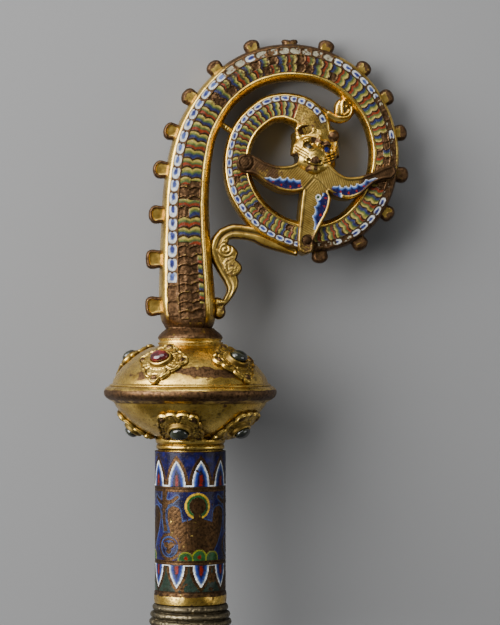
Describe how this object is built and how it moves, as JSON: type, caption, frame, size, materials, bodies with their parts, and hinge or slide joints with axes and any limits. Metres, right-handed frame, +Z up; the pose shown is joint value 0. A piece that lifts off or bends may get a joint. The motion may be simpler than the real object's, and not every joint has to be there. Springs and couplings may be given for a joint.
{
  "type": "enamelled crosier head",
  "caption": "Head of a bishop's staff: an enamelled serpent volute with a beast's head and trefoil leaf, on a gem-set knop and a tubular enamelled staff socket.",
  "frame": {"origin": "on the surface the crosier head lies on, under the middle of its bounding box", "axes": "+Y up the staff, from the ferrule towards the crown of the volute; +Z up, out of the front of the volute; +X to the side on which the volute curls"},
  "size_m": [0.1528, 0.303, 0.0874],
  "materials": {
    "gilt_copper": "fire-gilt copper, satin, worn to brown copper at edges and high spots",
    "worn_gilt": "gilding rubbed thin over brown copper",
    "bare_copper": "bare brown patinated copper, satin, with traces of gilding",
    "dark_bronze": "dark grey-brown corroded copper alloy, dull and rough",
    "enamel": "opaque glass enamel in gilt cells, blue, light blue, white, green, yellow and red, chipped and dulled",
    "red_stone": "deep red polished cabochon, slightly see-through",
    "dark_stone": "dark grey-green polished cabochon"
  },
  "bodies": {
    "root": {"serpent_volute": "gilt_copper", "trefoil_leaf": "worn_gilt", "foliate_brace": "gilt_copper", "tie_pin": "worn_gilt", "stem_collar": "bare_copper", "knop_upper": "gilt_copper", "knop_band": "bare_copper", "knop_lower": "gilt_copper", "socket_tube": "enamel", "ferrule": "dark_bronze", "upper_mount_1": "gilt_copper", "upper_stone_1": "red_stone", "upper_mount_2": "gilt_copper", "upper_stone_2": "dark_stone", "upper_mount_3": "gilt_copper", "upper_stone_3": "dark_stone", "upper_mount_4": "gilt_copper", "upper_stone_4": "dark_stone", "lower_mount_1": "gilt_copper", "lower_stone_1": "dark_stone", "lower_mount_2": "gilt_copper", "lower_stone_2": "dark_stone", "lower_mount_3": "gilt_copper", "lower_stone_3": "dark_stone", "lower_mount_4": "gilt_copper", "lower_stone_4": "dark_stone"}
  },
  "joints": []
}
